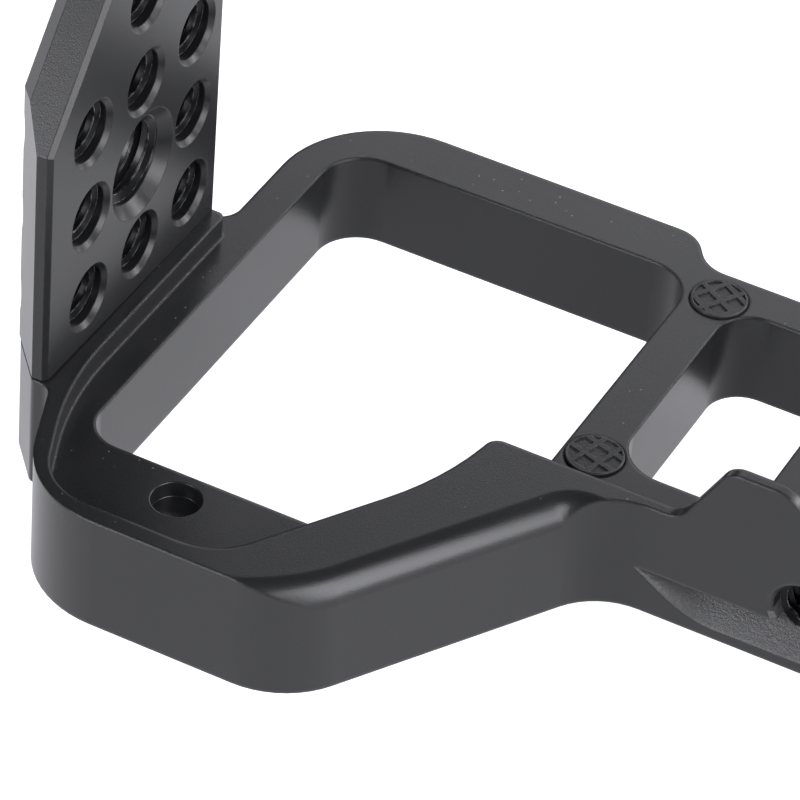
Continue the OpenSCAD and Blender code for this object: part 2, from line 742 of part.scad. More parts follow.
module cold_shoe() {
    half = shoe_w / 2 + shoe_wall;
    height = shoe_floor + shoe_slot + shoe_lip;
    color(steel) translate([shoe_x, shoe_y, top_z]) difference() {
        translate([0, shoe_l / 2, 0]) rotate([90, 0, 0]) linear_extrude(shoe_l) difference() {
            translate([-half, 0]) square([2 * half, height]);
            translate([-shoe_w / 2, shoe_floor]) square([shoe_w, shoe_slot]);
            translate([-shoe_gap / 2, shoe_floor]) square([shoe_gap, height]);
        }
        for (y = [-1, 1]) translate([0, y * shoe_screw_y, 0]) {
            translate([0, 0, -e]) cylinder(d = top_screw_d + shank_play, h = shoe_floor + 2 * e);
            translate([0, 0, shoe_floor - shoe_sink]) cylinder(
                d1 = top_screw_d + shank_play, d2 = top_screw_head_d + shank_play, h = shoe_sink + 0.01);
        }
    }
}

module cold_shoe_spring() {
    leaf_w = 2.4;
    leaf_t = 0.4;
    leaf_end = 2;
    color("#9fa2a6") for (s = [-1, 1])
        translate([shoe_x + s * (shoe_w - leaf_w - leaf_t) / 2, shoe_y, top_z + shoe_floor])
            translate([-leaf_w / 2, leaf_end - shoe_l / 2, 0])
                cube([leaf_w, shoe_l - 2 * leaf_end, leaf_t]);
}

module cold_shoe_screws() {
    shank = 6;
    color(steel) for (y = [-1, 1]) translate([shoe_x, shoe_y + y * shoe_screw_y, top_z]) difference() {
        union() {
            translate([0, 0, -shank]) cylinder(d = top_screw_d - 0.04, h = shank + shoe_floor - shoe_sink);
            translate([0, 0, shoe_floor - shoe_sink])
                cylinder(d1 = top_screw_d - 0.04, d2 = top_screw_head_d - 0.1, h = shoe_sink - 0.1);
        }
        translate([0, 0, shoe_floor - 1]) cylinder(d = 1.8, h = 2, $fn = 6);
    }
}

// ---- Accessory rail ----

module nato_rail() {
    color(anodised) difference() {
        translate([port_outer_x, rail_y, rail_mid_z - rail_l / 2]) linear_extrude(rail_l) polygon([
            [0, -rail_neck / 2], [rail_t - 2 * rail_flank, -rail_neck / 2],
            [rail_t - rail_flank, -rail_w / 2],
            [rail_t, -rail_w / 2 + rail_flank],
            [rail_t, rail_w / 2 - rail_flank], [rail_t - rail_flank, rail_w / 2],
            [rail_t - 2 * rail_flank, rail_neck / 2], [0, rail_neck / 2]
        ]);
        for (z = [-1, 1]) {
            translate([port_outer_x - e, rail_y, rail_mid_z + z * pitch]) rotate([0, 90, 0])
                cylinder(d = top_screw_d + shank_play, h = rail_t + 2 * e);
            translate([port_outer_x + rail_screw_seat, rail_y, rail_mid_z + z * pitch]) rotate([0, 90, 0])
                cylinder(d = top_screw_head_d + head_play, h = rail_t - rail_screw_seat + e);
            // stop pin: a step holds its collar back
            translate([port_outer_x - e, rail_y, rail_mid_z + z * pin_offset]) rotate([0, 90, 0]) {
                cylinder(d = pin_d + gap, h = rail_t + 2 * e);
                cylinder(d = pin_collar_d + gap, h = pin_step + e);
            }
            // cross slots that a clamp's key drops into
            translate([
                port_outer_x + rail_t - rail_slot_depth, rail_y - rail_w,
                rail_mid_z + z * 1.8 * pitch - rail_slot_w / 2
            ]) cube([rail_slot_depth + e, 2 * rail_w, rail_slot_w]);
        }
    }
}

module nato_rail_screws() {
    shank = rail_screw_seat + plate_t - 0.5;
    color(steel) for (z = [-1, 1])
        translate([port_outer_x + rail_screw_seat, rail_y, rail_mid_z + z * pitch]) rotate([0, -90, 0])
            socket_screw(top_screw_d, top_screw_head_d, top_screw_head_h, shank, top_screw_hex);
}

module stop_pin(side) {
    collar_top = pin_step - pin_seat;
    color(steel) translate([port_outer_x, rail_y, rail_mid_z + side * pin_offset]) rotate([0, 90, 0]) {
        translate([0, 0, collar_top - pin_collar_t]) cylinder(d = pin_collar_d, h = pin_collar_t);
        translate([0, 0, collar_top - pin_collar_t / 2])
            cylinder(d = pin_d, h = rail_t + pin_stand - pin_tip - collar_top + pin_collar_t / 2);
        translate([0, 0, rail_t + pin_stand - pin_tip]) cylinder(d1 = pin_d, d2 = pin_d - 0.8, h = pin_tip);
    }
}

// Coil spring behind a pin's collar, as a plain tube
module stop_spring(side) {
    length = spring_bore + pin_step - pin_collar_t - 2 * pin_seat;
    outside = pin_collar_d - 0.4;
    color("#8d9094") translate([port_outer_x - spring_bore, rail_y, rail_mid_z + side * pin_offset])
        rotate([0, 90, 0]) difference() {
            cylinder(d = outside, h = length);
            translate([0, 0, -e]) cylinder(d = outside - 2 * spring_wall, h = length + 2 * e);
        }
}

module rail_stop_pin_upper() { stop_pin(1); }
module rail_stop_pin_lower() { stop_pin(-1); }
module rail_spring_upper() { stop_spring(1); }
module rail_spring_lower() { stop_spring(-1); }

base_plate();
grip_side_plate();
port_side_plate();
top_plate();
base_pad_front_grip();
base_pad_rear_grip();
base_pad_front_port();
base_pad_rear_port();
camera_screw();
camera_screw_washer();
stored_key();
key_magnet();
grip_plate_screws();
port_plate_screws();
grip_top_screws();
port_top_screws();
cold_shoe();
cold_shoe_spring();
cold_shoe_screws();
nato_rail();
nato_rail_screws();
rail_stop_pin_upper();
rail_stop_pin_lower();
rail_spring_upper();
rail_spring_lower();
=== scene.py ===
import bpy
import math
from mathutils import Matrix, Vector


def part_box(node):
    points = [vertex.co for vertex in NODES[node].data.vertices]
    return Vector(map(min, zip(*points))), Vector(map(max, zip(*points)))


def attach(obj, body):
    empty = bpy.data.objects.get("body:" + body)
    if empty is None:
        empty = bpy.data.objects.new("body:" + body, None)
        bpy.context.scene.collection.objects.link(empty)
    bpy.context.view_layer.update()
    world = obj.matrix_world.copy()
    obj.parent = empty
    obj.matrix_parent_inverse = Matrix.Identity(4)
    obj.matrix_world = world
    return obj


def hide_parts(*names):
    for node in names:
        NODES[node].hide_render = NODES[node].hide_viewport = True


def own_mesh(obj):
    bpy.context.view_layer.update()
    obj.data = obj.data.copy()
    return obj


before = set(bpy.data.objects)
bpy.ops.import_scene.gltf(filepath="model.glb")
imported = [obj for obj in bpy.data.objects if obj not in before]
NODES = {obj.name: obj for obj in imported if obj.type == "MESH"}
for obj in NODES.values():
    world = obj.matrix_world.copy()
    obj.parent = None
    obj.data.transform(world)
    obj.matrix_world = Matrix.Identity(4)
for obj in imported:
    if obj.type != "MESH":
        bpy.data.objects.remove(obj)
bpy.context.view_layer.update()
MM = 0.001   # lengths are in mm, but those of shaders, floor, lights and camera are in metres


# ---- Selecting and finishing pieces ----

def select_nothing():
    bpy.ops.object.select_all(action="DESELECT")


def only(obj):
    """Makes obj the one selected and active object."""
    select_nothing()
    obj.hide_set(False)
    obj.select_set(True)
    bpy.context.view_layer.objects.active = obj


def object_mode():
    bpy.ops.object.mode_set(mode="OBJECT")


def edit_some(obj, kind, test):
    """Opens obj in edit mode with those of its vertices or faces selected that pass test."""
    only(obj)
    bpy.ops.object.mode_set(mode="EDIT")
    bpy.ops.mesh.select_mode(type=kind)
    bpy.ops.mesh.select_all(action="DESELECT")
    object_mode()
    for part in obj.data.vertices if kind == "VERT" else obj.data.polygons:
        part.select = test(part)
    bpy.ops.object.mode_set(mode="EDIT")


def apply_modifiers(obj):
    only(obj)
    for name in [m.name for m in obj.modifiers]:
        bpy.ops.object.modifier_apply(modifier=name)


def cut(target, tool, operation="DIFFERENCE"):
    """Cuts tool out of target, or keeps what they share, and removes tool."""
    boolean = target.modifiers.new("cut", "BOOLEAN")
    boolean.operation = operation
    boolean.solver = "EXACT"
    boolean.object = tool
    apply_modifiers(target)
    bpy.data.objects.remove(tool)


def wind(profile, pitch, turns, steps):
    """Winds the open profile up the Z axis, and closes both ends."""
    winding = profile.modifiers.new("winding", "SCREW")
    winding.axis = "Z"
    winding.screw_offset = pitch * MM
    winding.iterations = turns
    winding.steps = winding.render_steps = steps
    winding.use_merge_vertices = False
    apply_modifiers(profile)
    only(profile)
    bpy.ops.object.mode_set(mode="EDIT")
    bpy.ops.mesh.select_all(action="SELECT")
    bpy.ops.mesh.fill_holes(sides=12)
    bpy.ops.mesh.select_all(action="SELECT")
    bpy.ops.mesh.normals_make_consistent(inside=False)
    object_mode()


def smooth(obj, degrees):
    only(obj)
    bpy.ops.object.shade_smooth_by_angle(angle=math.radians(degrees))


def settle(obj):
    """Puts the object at the origin, with its place in its mesh."""
    only(obj)
    bpy.ops.object.transform_apply(location=True, rotation=True, scale=True)


def finish_piece(obj, name, material, body="cage", replaces=()):
    settle(obj)
    obj.name = name
    obj.data.name = name
    obj.data.materials.clear()
    obj.data.materials.append(material)
    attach(obj, body)
    if replaces:
        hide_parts(*replaces)


def own_copy(master):
    """A copy with its own mesh, linked into the scene."""
    made = master.copy()
    made.data = master.data.copy()
    bpy.context.scene.collection.objects.link(made)
    return made


def join(parts):
    """Joins the parts into the first of them."""
    select_nothing()
    for part in parts:
        part.select_set(True)
    bpy.context.view_layer.objects.active = parts[0]
    bpy.ops.object.join()
    return parts[0]


def along(axis, at):
    """Matrix that stands the Z axis along axis, with the origin at the point at."""
    turn = Vector(axis).to_track_quat("Z", "X").to_matrix().to_4x4()
    return Matrix.Translation(Vector(at) * MM) @ turn


def round_bar(radius, low, high, sides):
    """A bar along Z from low to high."""
    select_nothing()
    bpy.ops.mesh.primitive_cylinder_add(
        vertices=sides, radius=radius * MM, depth=(high - low) * MM,
        location=(0, 0, (low + high) / 2 * MM))
    bar = bpy.context.active_object
    settle(bar)
    return bar


def block(size, middle):
    """A block of the given size around its middle."""
    select_nothing()
    bpy.ops.mesh.primitive_cube_add(size=1.0, location=[value * MM for value in middle])
    made = bpy.context.active_object
    made.scale = [value * MM for value in size]
    settle(made)
    return made


def extrude_selected(length, taper):
    """Extrudes the selected face along Z by length, and tapers its end."""
    bpy.ops.mesh.extrude_region_move(TRANSFORM_OT_translate={"value": (0, 0, length * MM)})
    bpy.ops.transform.resize(value=(taper, taper, 1))


def grow_end(bar, level, length, taper):
    """Extrudes the end face at height level by length, and tapers it."""
    edit_some(bar, "FACE", lambda face: abs(face.center.z / MM - level) < 0.01)
    extrude_selected(length, taper)
    object_mode()


# ---- Shader groups shared by the materials ----

def new_group(name, inputs, outputs):
    group = bpy.data.node_groups.new(name, "ShaderNodeTree")
    for label, value in inputs:
        socket = group.interface.new_socket(name=label, in_out="INPUT", socket_type="NodeSocketFloat")
        socket.default_value = value
    for label, kind in outputs:
        group.interface.new_socket(name=label, in_out="OUTPUT", socket_type=kind)
    return group, group.nodes.new("NodeGroupInput"), group.nodes.new("NodeGroupOutput")


def place(tree, kind, **settings):
    made = tree.nodes.new(kind)
    for key, value in settings.items():
        setattr(made, key, value)
    return made


def feed(tree, value, socket):
    """Gives a socket a number, a colour of three numbers, or a link from another socket."""
    if isinstance(value, (int, float)):
        socket.default_value = value
    elif isinstance(value, tuple):
        socket.default_value = (*value, 1.0)
    else:
        tree.links.new(value, socket)


def calc(tree, operation, first, second):
    made = place(tree, "ShaderNodeMath", operation=operation)
    feed(tree, first, made.inputs[0])
    feed(tree, second, made.inputs[1])
    return made.outputs[0]


def product(tree, first, *others):
    for other in others:
        first = calc(tree, "MULTIPLY", first, other)
    return first


def object_place(tree):
    return tree.nodes.new("ShaderNodeTexCoord").outputs["Object"]


def surface_normal(tree, kind="Normal"):
    return tree.nodes.new("ShaderNodeNewGeometry").outputs[kind]


def split_axes(tree, vector):
    made = place(tree, "ShaderNodeSeparateXYZ")
    tree.links.new(vector, made.inputs["Vector"])
    return made.outputs


def noise(tree, vector, scale, detail, roughness=0.5):
    made = place(tree, "ShaderNodeTexNoise")
    made.inputs["Detail"].default_value = detail
    made.inputs["Roughness"].default_value = roughness
    tree.links.new(vector, made.inputs["Vector"])
    feed(tree, scale, made.inputs["Scale"])
    return made.outputs["Fac"]


def remap(tree, value, low, high, to_low=0.0, to_high=1.0):
    made = place(tree, "ShaderNodeMapRange")
    tree.links.new(value, made.inputs["Value"])
    limits = {"From Min": low, "From Max": high, "To Min": to_low, "To Max": to_high}
    for label, number in limits.items():
        made.inputs[label].default_value = number
    return made.outputs["Result"]


def blasted_grain_group():
    """Fine pits of a bead blasted surface, and slow drift in its tone."""
    group, given, out = new_group(
        "blasted_grain",
        [("Pit Scale", 6500.0), ("Drift Scale", 60.0)],
        [("Pits", "NodeSocketFloat"), ("Drift", "NodeSocketFloat")],
    )
    spot = object_place(group)
    pits = noise(group, spot, given.outputs["Pit Scale"], 1.0, 0.4)
    drift = noise(group, spot, given.outputs["Drift Scale"], 3.0, 0.55)
    group.links.new(pits, out.inputs["Pits"])
    group.links.new(drift, out.inputs["Drift"])
    return group


def edge_wear_and_glint_group():
    """Mask of sharp edges, broken up as handling wears them; the same mask also lays painted highlights
    along edges.
    """
    group, given, out = new_group(
        "edge_wear_and_glint",
        [("Radius", 0.0004), ("Breakup Scale", 900.0), ("Amount", 0.5)],
        [("Mask", "NodeSocketFloat")],
    )
    bevel = place(group, "ShaderNodeBevel", samples=4)
    group.links.new(given.outputs["Radius"], bevel.inputs["Radius"])
    dot = place(group, "ShaderNodeVectorMath", operation="DOT_PRODUCT")
    group.links.new(bevel.outputs["Normal"], dot.inputs[0])
    group.links.new(surface_normal(group), dot.inputs[1])
    edge = remap(group, dot.outputs["Value"], 0.99, 0.86)
    breakup = noise(group, object_place(group), given.outputs["Breakup Scale"], 3.0, 0.6)
    broken = remap(group, breakup, 0.42, 0.66)
    group.links.new(product(group, edge, broken, given.outputs["Amount"]), out.inputs["Mask"])
    return group


def dust_group():
    """Sparse pale specks lying on faces that point up."""
    group, given, out = new_group(
        "dust_specks",
        [("Scale", 900.0), ("Amount", 0.5)],
        [("Mask", "NodeSocketFloat")],
    )
    spot = object_place(group)
    cells = place(group, "ShaderNodeTexVoronoi", feature="F1")
    group.links.new(spot, cells.inputs["Vector"])
    group.links.new(given.outputs["Scale"], cells.inputs["Scale"])
    speck = remap(group, cells.outputs["Distance"], 0.16, 0.08)
    split = place(group, "ShaderNodeSeparateColor")
    group.links.new(cells.outputs["Color"], split.inputs["Color"])
    chosen = calc(group, "GREATER_THAN", split.outputs["Red"], 0.86)
    patch = remap(group, noise(group, spot, 70.0, 2.0), 0.42, 0.62)
    upward = remap(group, split_axes(group, surface_normal(group))["Z"], 0.7, 0.95)
    mask = product(group, speck, chosen, patch, upward, given.outputs["Amount"])
    group.links.new(mask, out.inputs["Mask"])
    return group


def softened_edge_group():
    """Normal that turns smoothly over an edge, as a tumbled or blasted edge does."""
    group, given, out = new_group("softened_edge", [("Radius", 0.0002)], [("Normal", "NodeSocketVector")])
    bevel = place(group, "ShaderNodeBevel", samples=6)
    group.links.new(given.outputs["Radius"], bevel.inputs["Radius"])
    group.links.new(bevel.outputs["Normal"], out.inputs["Normal"])
    return group


GROOVE_BACK_Y, GROOVE_FRONT_Y, GROOVE_TOP_Z = -0.0159, -0.0202, 0.0072   # in metres


def milled_flank_group():
    """Mask of the dovetail groove's sloping flanks along the front edge, and their coarse grain."""
    group, given, out = new_group(
        "milled_flank",
        [("Back", GROOVE_BACK_Y), ("Grain Scale", 3200.0)],
        [("Mask", "NodeSocketFloat"), ("Grain", "NodeSocketFloat")],
    )
    spot = object_place(group)
    at = split_axes(group, spot)
    upward = split_axes(group, surface_normal(group, "True Normal"))["Z"]
    mask = product(
        group,
        calc(group, "LESS_THAN", at["Y"], given.outputs["Back"]),
        calc(group, "GREATER_THAN", at["Y"], GROOVE_FRONT_Y),
        calc(group, "LESS_THAN", at["Z"], GROOVE_TOP_Z),
        calc(group, "GREATER_THAN", upward, 0.2),
        calc(group, "LESS_THAN", upward, 0.97),
    )
    group.links.new(mask, out.inputs["Mask"])
    grain = noise(group, spot, given.outputs["Grain Scale"], 4.0, 0.7)
    group.links.new(product(group, grain, mask), out.inputs["Grain"])
    return group


GRAIN = blasted_grain_group()
MILLED = milled_flank_group()
WEAR_AND_GLINT = edge_wear_and_glint_group()
DUST = dust_group()
SOFT_EDGE = softened_edge_group()


# ---- Materials ----

DUST_COLOUR = (0.32, 0.31, 0.30)
# Tone of the dovetail's milled flanks: partly their own milled surface, partly painted light, lighter for
# the light the flanks catch.
MILLED_AND_LIT_COLOUR = (0.044, 0.044, 0.045)
# how many times a metre each pattern repeats
DRIFT_SCALE, BREAKUP_SCALE, SPECK_SCALE, FLANK_SCALE = 60.0, 900.0, 1250.0, 3200.0


def start_material(name, roughness, metallic=0.0, specular=0.5):
    material = bpy.data.materials.new(name)
    material.use_nodes = True
    tree = material.node_tree
    shader = tree.nodes["Principled BSDF"]
    shader.inputs["Roughness"].default_value = roughness
    shader.inputs["Metallic"].default_value = metallic
    shader.inputs["Specular IOR Level"].default_value = specular
    return material, tree, shader


def use_group(tree, group, **values):
    """Places a node group with its own values and gives its outputs."""
    made = place(tree, "ShaderNodeGroup", node_tree=group)
    for label, value in values.items():
        made.inputs[label.replace("_", " ")].default_value = value
    return made.outputs


def mix_colour(tree, factor, first, second):
    """Mix of two colours; each is a socket or three numbers."""
    made = place(tree, "ShaderNodeMix", data_type="RGBA")
    tree.links.new(factor, made.inputs["Factor"])
    colours = [socket for socket in made.inputs if socket.type == "RGBA"]
    feed(tree, first, colours[0])
    feed(tree, second, colours[1])
    return [socket for socket in made.outputs if socket.type == "RGBA"][0]


def raise_bump(tree, height, distance, under):
    """Bump of the given depth in metres, over the normal under, if there is one."""
    made = place(tree, "ShaderNodeBump")
    made.inputs["Strength"].default_value = 1.0
    made.inputs["Distance"].default_value = distance
    tree.links.new(height, made.inputs["Height"])
    if under:
        tree.links.new(under, made.inputs["Normal"])
    return made.outputs["Normal"]


def finish_surface(name, dark, light, worn_and_glint, roughness, swing, pit_depth,
                   pit_scale=6500.0, wear_and_glint=0.5, wear_and_glint_radius=0.0004, dust=0.0, metallic=0.0,
                   specular=0.5, soft_edge=0.0002, milled=0.0):
    """Grained finish: tone and roughness drift, edges take wear and painted highlights, pits raise a fine
    bump.
    """
    material, tree, shader = start_material(name, roughness, metallic, specular)
    grain = use_group(tree, GRAIN, Pit_Scale=pit_scale, Drift_Scale=DRIFT_SCALE)
    edges = use_group(tree, WEAR_AND_GLINT, Radius=wear_and_glint_radius, Breakup_Scale=BREAKUP_SCALE, Amount=wear_and_glint)
    colour = mix_colour(tree, grain["Drift"], dark, light)
    colour = mix_colour(tree, edges["Mask"], colour, worn_and_glint)
    normal = None
    if dust:
        specks = use_group(tree, DUST, Scale=SPECK_SCALE, Amount=dust)
        colour = mix_colour(tree, specks["Mask"], colour, DUST_COLOUR)
    if soft_edge:
        normal = use_group(tree, SOFT_EDGE, Radius=soft_edge)["Normal"]
    if milled:
        flank = use_group(tree, MILLED, Back=GROOVE_BACK_Y, Grain_Scale=FLANK_SCALE)
        # The flanks take the lighter milled tone, which is partly painted light.
        colour = mix_colour(tree, flank["Mask"], colour, MILLED_AND_LIT_COLOUR)
        normal = raise_bump(tree, flank["Grain"], milled, normal)
    normal = raise_bump(tree, grain["Pits"], pit_depth, normal)
    roughness_drift = remap(tree, grain["Drift"], 0.3, 0.7, roughness - swing, roughness + swing)
    tree.links.new(colour, shader.inputs["Base Color"])
    tree.links.new(roughness_drift, shader.inputs["Roughness"])
    tree.links.new(normal, shader.inputs["Normal"])
    return material


# The anodising's worn colour lightens its edges: partly real edge wear, partly painted highlight lines.
BLASTED = {"worn_and_glint": (0.06, 0.06, 0.06), "roughness": 0.29, "swing": 0.02, "pit_scale": 7500.0}
ANODISED = finish_surface(
    "black_anodised", (0.0068, 0.0070, 0.0076), (0.0098, 0.0100, 0.0106), pit_depth=0.000014,
    wear_and_glint=0.30, dust=0.4, specular=0.32, soft_edge=0.0005, milled=0.00007, **BLASTED)
# The side plates' copy of the anodising is a touch darker than the base's: painted shade on the upright
# plates.
ANODISED_SIDE_SHADED = finish_surface(
    "black_anodised_shaded_side_plate", (0.0064, 0.0066, 0.0072), (0.0094, 0.0096, 0.0102),
    pit_depth=0.0000115, wear_and_glint=0.35, specular=0.28, soft_edge=0.00015, **BLASTED)
ANODISED_CUP = finish_surface(
    "black_anodised_cup", (0.0068, 0.0070, 0.0076), (0.0098, 0.0100, 0.0106), pit_depth=0.000014,
    wear_and_glint=0.0, specular=0.32, soft_edge=0.0, **BLASTED)
# The thread's tone, darker than the anodising, is painted shade in the holes; its worn colour, laid at
# full strength on the narrow crests, is painted glints.
THREAD = finish_surface(
    "cut_thread", (0.003, 0.003, 0.0035), (0.006, 0.006, 0.0065), (0.40, 0.40, 0.40),
    roughness=0.22, swing=0.04, pit_depth=0.000004, pit_scale=5500.0, wear_and_glint=1.0, wear_and_glint_radius=0.00010,
    specular=0.10, soft_edge=0.0)
BLACK_SCREW = finish_surface(
    "blackened_steel", (0.03, 0.03, 0.031), (0.05, 0.05, 0.05), (0.25, 0.25, 0.25),
    roughness=0.32, swing=0.05, pit_depth=0.000004, wear_and_glint=0.5, metallic=0.6)
BRIGHT_STEEL = finish_surface(
    "turned_steel", (0.50, 0.50, 0.51), (0.60, 0.60, 0.61), (0.75, 0.75, 0.75),
    roughness=0.28, swing=0.06, pit_depth=0.000003, wear_and_glint=0.4, metallic=1.0)
SPRING_STEEL = finish_surface(
    "spring_steel", (0.38, 0.38, 0.39), (0.48, 0.48, 0.49), (0.6, 0.6, 0.6),
    roughness=0.30, swing=0.05, pit_depth=0.000002, wear_and_glint=0.3, metallic=1.0)
RUBBER = finish_surface(
    "black_rubber", (0.012, 0.012, 0.0125), (0.018, 0.018, 0.0185), (0.09, 0.09, 0.09),
    roughness=0.42, swing=0.05, pit_depth=0.00003, pit_scale=4200.0, wear_and_glint=0.6, dust=0.9,
    specular=0.26, soft_edge=0.00008)
PLASTIC = finish_surface(
    "washer_plastic", (0.52, 0.52, 0.48), (0.60, 0.60, 0.56), (0.7, 0.7, 0.67),
    roughness=0.45, swing=0.05, pit_depth=0.000004, wear_and_glint=0.3)


# ---- CAD nodes that stay as they are ----

FINISHES = {
    ANODISED: ("base_plate", "top_plate", "cold_shoe", "nato_rail"),
    ANODISED_SIDE_SHADED: ("port_side_plate",),
    BRIGHT_STEEL: ("stored_key", "cold_shoe_screws", "rail_stop_pin_upper", "rail_stop_pin_lower"),
    BLACK_SCREW: ("grip_plate_screws", "port_plate_screws", "grip_top_screws", "port_top_screws",
                  "nato_rail_screws"),
    SPRING_STEEL: ("cold_shoe_spring",),
    PLASTIC: ("camera_screw_washer",),
}
for material, nodes in FINISHES.items():
    for node in nodes:
        finishes = NODES[node].data.materials
        finishes.clear()
        finishes.append(material)


# ---- Grip-side plate, with its front edge finished finer ----

FRONT_Y, BEND_Z = -35.0, 40.5            # lower front face, and where it turns into the slanted face
UPPER_Y, UPPER_Z = -22.8, 55.21          # upper front face, and where the slanted face meets it
OUTER_X, INNER_X = -81.3, -75.3
SLANT = Vector((12.2, 14.713)).normalized()
ACROSS = Vector((-SLANT.y, SLANT.x))     # out of the slanted face
DRAWN_INNER, FINE_INNER = 0.9, 0.5       # chamfer of the front's inner edge
DRAWN_OUTER, FINE_OUTER = 3.1, 1.75      # chamfer of the slant's outer edge, down the outer side
CREST_X = OUTER_X + 1.85                 # the same chamfer's other edge, on the slanted face
NOSE_X, NOSE_SLOPE = -76.9, 5.0 / 4.4    # where the nose's bevel starts, and how far back it runs
FOOT_Z, SEAM = 13.1, 0.25                # the plate's foot, and the seam under its front corner
SEAM_BACK_Y = -29.9
SLIVER = 1e-12                           # a face of less area, in square metres, has no way of its own


def near(value, level):
    return abs(value - level) < 0.02


def slant_point(x, below, y):
    """A point at the given depth under the slanted face, from its y."""
    z = BEND_Z + ((y - FRONT_Y) * SLANT.y - below) / SLANT.x
    return Vector((x, y, z))


def outer_corners():
    """Corners of the outer chamfers as drawn, each with the place it goes to."""
    crest = slant_point(CREST_X, 0.0, y=FRONT_Y + (NOSE_X - CREST_X) * NOSE_SLOPE)
    crest_foot = slant_point(OUTER_X, FINE_OUTER, y=-30.0)
    top_foot = slant_point(OUTER_X, FINE_OUTER, y=UPPER_Y + FINE_OUTER)
    moves = [
        ((-79.09, -32.51, 43.5), crest),
        ((-79.6, -32.51, 43.5), crest),
        ((-80.07, -31.4, 43.5), (crest + crest_foot) / 2),
        ((-81.3, -30.0, 41.67), crest_foot),
        ((-81.3, -19.65, 54.16), top_foot),
        ((-81.12, -20.03, 54.21), top_foot),
        ((-81.3, -19.71, 54.21), top_foot),
    ]
    for x, y, z in ((-79.6, -23.63, 54.21), (-79.15, -23.63, 54.21), (-79.6, -22.8, 55.21),
                    (-79.6, -22.8, 56.77), (-79.05, -22.8, 56.77)):
        moves.append(((x, y, z), Vector((CREST_X, y, z))))
    return moves


def finer_place(at, corners):
    """Where a vertex of the drawn plate goes, or None where it stays."""
    for drawn, target in corners:
        if (at - Vector(drawn)).length < 0.03:
            return target
    behind = at.y - FRONT_Y
    under = -(behind * ACROSS.x + (at.z - BEND_Z) * ACROSS.y)
    on_upright = at.z < BEND_Z + 0.5 and near(behind, DRAWN_INNER)
    on_slant = at.z > BEND_Z - 0.5 and near(under, DRAWN_INNER)
    if near(at.x, INNER_X) and (on_upright or on_slant):
        if not on_slant:
            way = Vector((-1.0, 0.0))
        elif on_upright:
            way = Vector((-1.0, ACROSS.y / (1 - ACROSS.x)))
        else:
            way = ACROSS
        return at + Vector((0, way.x, way.y)) * (DRAWN_INNER - FINE_INNER)
    on_front = (near(behind, 0) or near(under, 0)) and at.z < UPPER_Z + 4
    if near(at.x, INNER_X - DRAWN_INNER) and on_front:
        return at + Vector((DRAWN_INNER - FINE_INNER, 0, 0))
    if near(at.x, OUTER_X) and near(at.y, UPPER_Y + DRAWN_OUTER) and at.z > UPPER_Z + 1:
        return at + Vector((0, FINE_OUTER - DRAWN_OUTER, 0))
    return None


def grip_plate():
    """Copy of the plate with narrower chamfers along its front, and a fine seam below."""
    select_nothing()
    plate = own_copy(NODES["grip_side_plate"])
    mesh = plate.data
    normals = [Vector(corner.vector) for corner in mesh.corner_normals]
    corners = outer_corners()
    moved = set()
    for vertex in mesh.vertices:
        at = vertex.co / MM
        goes = finer_place(at, corners)
        if near(at.z, FOOT_Z) and (goes or at.y < SEAM_BACK_Y):
            goes = (goes or at) + Vector((0, 0, SEAM))
        if goes:
            vertex.co = goes * MM
            moved.add(vertex.index)
    mesh.update()
    for face in mesh.polygons:
        if face.area > SLIVER and any(index in moved for index in face.vertices):
            for corner in face.loop_indices:
                normals[corner] = face.normal.copy()
    mesh.normals_split_custom_set(normals)
    finish_piece(plate, "side_plate_on_the_grip_side", ANODISED_SIDE_SHADED,
                 replaces=("grip_side_plate",))


grip_plate()


# ---- Threads cut in the holes, and on the camera screw ----

SMALL_PITCH, LARGE_PITCH = 1.27, 1.5875      # 20 and 16 turns to the inch
RIDGE_FOOT, RIDGE_TOP = 0.66, 0.10           # widths of a ridge, as shares of its pitch


def thread_ridge(wall, crest, pitch, turns):
    """A ridge that winds up the Z axis from z = 0, its foot on the radius wall, its top on crest."""
    foot, top = RIDGE_FOOT * pitch, RIDGE_TOP * pitch
    middle, reach = (wall + crest) / 2 * MM, abs(wall - crest) * MM
    select_nothing()
    bpy.ops.mesh.primitive_plane_add(
        size=1.0, location=(middle, 0, foot / 2 * MM), rotation=(math.pi / 2, 0, 0))
    ridge = bpy.context.active_object
    ridge.scale = (reach, foot * MM, 1.0)
    settle(ridge)
    edit_some(ridge, "VERT", lambda vertex: (vertex.co.x - middle) * (crest - wall) > 0)
    bpy.ops.transform.resize(value=(1, 1, top / foot))
    bpy.ops.mesh.select_all(action="SELECT")
    bpy.ops.mesh.delete(type="ONLY_FACE")
    object_mode()
    wind(ridge, pitch, turns, 36)
    smooth(ridge, 35)
    return ridge


SIDEWAYS, BACKWARD, UPWARD = (1, 0, 0), (0, 1, 0), (0, 0, 1)
# steps forward and up from the rearmost lowest hole; the large thread has the place at 1, 1
GRIP_HOLES = ((0, 0), (0, 1), (0, 2), (0, 3), (1, 0), (1, 2), (1, 3), (2, 0), (2, 1), (2, 2))
GRIP_Y, GRIP_Z, GRIP_PITCH = -7, 18.6, 10
TRIPOD_X, TOP_START_Z = 41.2, 94.6


